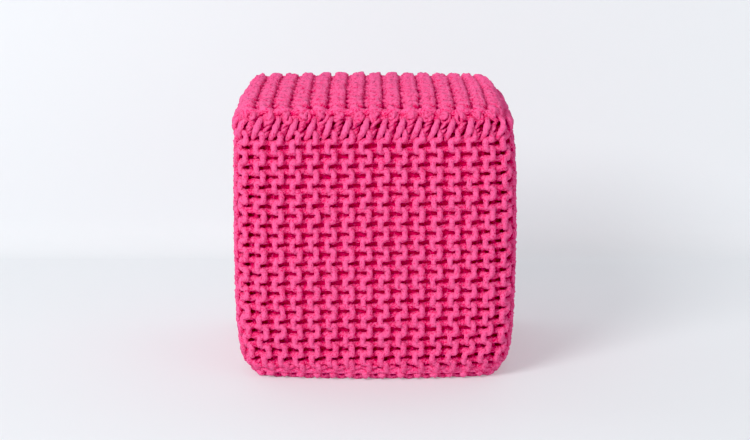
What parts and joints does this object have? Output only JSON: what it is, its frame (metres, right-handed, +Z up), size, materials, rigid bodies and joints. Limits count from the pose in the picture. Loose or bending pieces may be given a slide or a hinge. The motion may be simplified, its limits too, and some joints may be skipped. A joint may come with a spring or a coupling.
{
  "type": "knitted pouf",
  "caption": "Square filled pouf in thick pink cord, knitted in ribs that stand upright round the sides and run front to back on top, with puffy joining stitches along the edges.",
  "frame": {"origin": "on the floor under the middle of the base", "axes": "+Z up, the side that the picture shows faces -Y, and +X is to its right; the ribs of the top and base run along Y"},
  "size_m": [0.3818, 0.3818, 0.378],
  "materials": {
    "knitted_cord": "matte",
    "joining_cord": "matte"
  },
  "bodies": {
    "root": {"side_band": "knitted_cord", "top_panel": "knitted_cord", "bottom_panel": "knitted_cord", "seam_top": "joining_cord", "seam_bottom": "joining_cord"}
  },
  "joints": []
}
